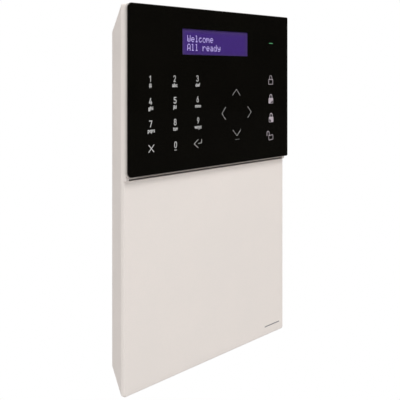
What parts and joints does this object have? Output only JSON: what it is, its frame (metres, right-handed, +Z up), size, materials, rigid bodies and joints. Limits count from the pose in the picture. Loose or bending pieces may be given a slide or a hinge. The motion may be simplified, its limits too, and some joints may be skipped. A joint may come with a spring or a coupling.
{
  "type": "alarm keypad panel",
  "caption": "Wall-mounted alarm keypad panel: tapered white case with a flat black touch-glass keypad and character display, hinged cover, electronics and backup battery inside.",
  "frame": {"origin": "centre of the flat rear face that lies on the wall", "axes": "+X to the viewer's right, +Y into the wall, so the glass faces -Y, +Z up"},
  "size_m": [0.156, 0.0287, 0.2349],
  "materials": {
    "white_case": "fine satin texture",
    "dark_carrier": "satin",
    "grey_plastic": "satin",
    "black_glass": "polished, printed black behind",
    "green_board": "solder mask",
    "black_board": "solder mask",
    "steel": "zinc plated",
    "tinned_steel": "tinned",
    "lcd_panel": "polished",
    "light_plastic": "satin",
    "chip_epoxy": "moulded",
    "battery_wrap": "heat shrink",
    "terminal_green": "moulded",
    "black_rubber": "matt",
    "red_wire": "PVC",
    "black_wire": "PVC",
    "relay_case": "moulded",
    "capacitor_sleeve": "PVC sleeve",
    "copper": "bare",
    "ribbon": "flat cable"
  },
  "bodies": {
    "rear": {"rear_plate": "white_case", "main_board": "green_board", "main_connector": "light_plastic", "processor": "chip_epoxy", "radio_shield": "tinned_steel", "antenna_coil": "copper", "cellular_module": "tinned_steel", "sim_socket": "tinned_steel", "coin_cell_clip": "tinned_steel", "coin_cell": "steel", "ethernet_jack": "tinned_steel", "terminal_block": "terminal_green", "relay": "relay_case", "capacitor_large": "capacitor_sleeve", "capacitor_small": "capacitor_sleeve", "power_inductor": "chip_epoxy", "battery_plug": "light_plastic", "reset_switch": "tinned_steel", "power_switch": "tinned_steel", "board_screw_1": "steel", "board_screw_2": "steel", "board_screw_3": "steel", "board_screw_4": "steel", "battery_pack": "battery_wrap", "battery_strap": "grey_plastic", "strap_screw_1": "steel", "strap_screw_2": "steel", "battery_lead_red": "red_wire", "battery_lead_black": "black_wire", "siren": "dark_carrier", "cable_grommet": "black_rubber", "tamper_housing": "grey_plastic", "tamper_spring": "steel", "ribbon_cable": "ribbon"},
    "cover": {"front_cover": "white_case", "keypad_carrier": "dark_carrier", "touch_glass": "black_glass", "touch_sensor_board": "black_board", "icon_light_guide": "light_plastic", "keypad_board": "green_board", "lcd_bezel": "tinned_steel", "lcd_glass": "lcd_panel", "lcd_backlight": "light_plastic", "status_light_pipe": "light_plastic", "touch_controller": "chip_epoxy", "keypad_connector": "light_plastic", "carrier_screw_1": "steel", "carrier_screw_2": "steel", "carrier_screw_3": "steel", "carrier_screw_4": "steel"},
    "cover_screw": {"cover_screw": "steel"},
    "tamper_plunger": {"tamper_plunger": "dark_carrier"},
    "sim_card": {"sim_card": "light_plastic"},
    "reset_button": {"reset_button": "dark_carrier"},
    "power_slider": {"power_slider": "dark_carrier"}
  },
  "joints": [
    {"name": "cover_hinge", "type": "hinge", "parent": "rear", "child": "cover", "pos_m": [0, -0.0022, 0.1015], "axis": [-1, 0, 0], "range_deg": [0, 50]},
    {"name": "cover_screw_travel", "type": "slide", "parent": "cover", "child": "cover_screw", "axis": [0, 0, 1], "range_m": [0, 0.004]},
    {"name": "tamper_travel", "type": "slide", "parent": "rear", "child": "tamper_plunger", "axis": [0, 1, 0], "range_m": [0, 0.0024]},
    {"name": "sim_travel", "type": "slide", "parent": "rear", "child": "sim_card", "axis": [0, 0, 1], "range_m": [0, 0.014]},
    {"name": "reset_press", "type": "slide", "parent": "rear", "child": "reset_button", "axis": [0, 1, 0], "range_m": [0, 0.00025]},
    {"name": "power_travel", "type": "slide", "parent": "rear", "child": "power_slider", "axis": [1, 0, 0], "range_m": [0, 0.0036]}
  ]
}
